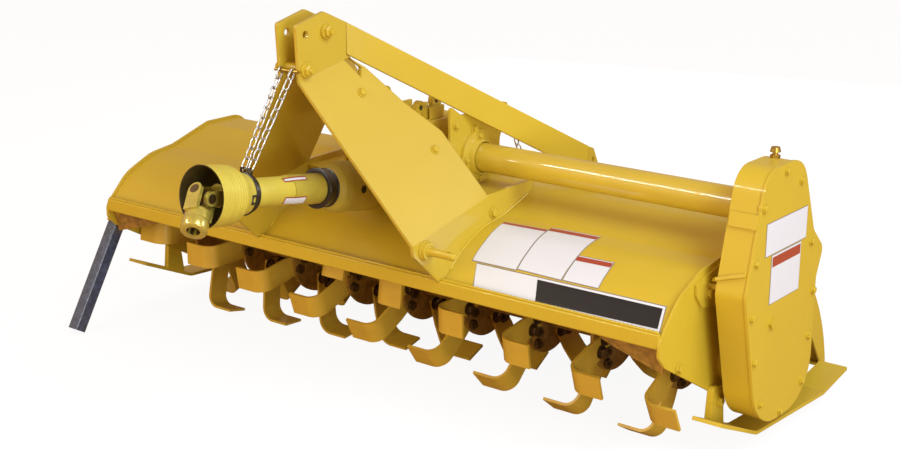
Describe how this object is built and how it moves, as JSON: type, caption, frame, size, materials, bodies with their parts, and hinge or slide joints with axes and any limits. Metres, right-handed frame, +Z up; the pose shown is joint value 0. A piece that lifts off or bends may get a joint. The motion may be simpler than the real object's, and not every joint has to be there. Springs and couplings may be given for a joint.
{
  "type": "rotary tiller",
  "caption": "Three-point mounted rotary tiller: bent-blade rotor under a curved hood, side chain drive, guarded driveline, hinged tailgate, skids and a parking stand.",
  "frame": {"origin": "midway between the two lower hitch pins, on their common axis", "axes": "+X towards the chain case, -Y towards the tractor, +Z up"},
  "size_m": [2.277, 1.6345, 1.1296],
  "materials": {
    "yellow_paint": "semi-gloss yellow enamel over welded steel",
    "guard_plastic": "moulded olive yellow polyethylene guard",
    "black_plastic": "black moulded collar",
    "zinc_chain": "bright zinc plated chain",
    "plated_steel": "yellow zinc plated hardware",
    "dark_steel": "dark oiled steel",
    "yellow_zinc": "greenish yellow zinc plated forging",
    "grey_paint": "dark steel square tube"
  },
  "bodies": {
    "frame": {"brace_left": "yellow_paint", "brace_right": "yellow_paint", "case_bracket": "yellow_paint", "chain_bracket": "yellow_paint", "chain_case": "yellow_paint", "chain_case_cover": "yellow_paint", "front_bell": "guard_plastic", "front_guard_tube": "guard_plastic", "gate_chain": "zinc_chain", "gearbox": "yellow_paint", "gearbox_bed": "yellow_paint", "gearbox_support_left": "yellow_paint", "gearbox_support_right": "yellow_paint", "guard_chains": "zinc_chain", "guard_collars": "black_plastic", "hinge_knuckles": "yellow_paint", "hinge_rod": "plated_steel", "hitch_pins": "plated_steel", "hitch_plate_left": "yellow_paint", "hitch_plate_right": "yellow_paint", "hood": "yellow_paint", "lip_bar": "yellow_paint", "mast_bar": "plated_steel", "mast_spacers": "yellow_paint", "rear_bell": "guard_plastic", "rear_guard_tube": "guard_plastic", "rotor_hubs": "yellow_paint", "side_plate_left": "yellow_paint", "side_plate_right": "yellow_paint", "skid_left": "yellow_paint", "skid_right": "yellow_paint", "stand_sleeve": "yellow_paint", "torque_tube": "yellow_paint"},
    "rotor": {"rotor_shaft": "yellow_paint", "tines": "yellow_paint"},
    "tailgate_body": {"tailgate": "yellow_paint"},
    "stand": {"stand_leg": "grey_paint"},
    "driveline": {"drive_shaft": "dark_steel", "shaft_yoke": "yellow_zinc"},
    "cross": {"joint_cross": "dark_steel"},
    "yoke": {"tractor_yoke": "yellow_zinc"}
  },
  "joints": [
    {"name": "rotor_spin", "type": "hinge", "parent": "frame", "child": "rotor", "pos_m": [0, 0.435, -0.261], "axis": [1, 0, 0], "continuous": true},
    {"name": "tailgate_hinge", "type": "hinge", "parent": "frame", "child": "tailgate_body", "pos_m": [0, 0.738, -0.04], "axis": [1, 0, 0], "range_deg": [0, 50], "deforming": ["gate_chain"]},
    {"name": "stand_slide", "type": "slide", "parent": "frame", "child": "stand", "axis": [0, 0.5135, 0.8581], "range_m": [0, 0.3]},
    {"name": "driveline_spin", "type": "hinge", "parent": "frame", "child": "driveline", "pos_m": [0, -0.457, 0.1857], "axis": [0, 0.9882, -0.153], "continuous": true},
    {"name": "joint_bend", "type": "hinge", "parent": "driveline", "child": "cross", "pos_m": [0, -0.457, 0.1857], "axis": [-1, 0, 0], "range_deg": [0, 100]},
    {"name": "joint_swing", "type": "hinge", "parent": "cross", "child": "yoke", "pos_m": [0, -0.457, 0.1857], "axis": [0, 0.6587, -0.7524], "range_deg": [0, 48]}
  ],
  "couplings": [
    {"joint": "driveline_spin", "follows": "rotor_spin", "ratio": 2.5}
  ]
}
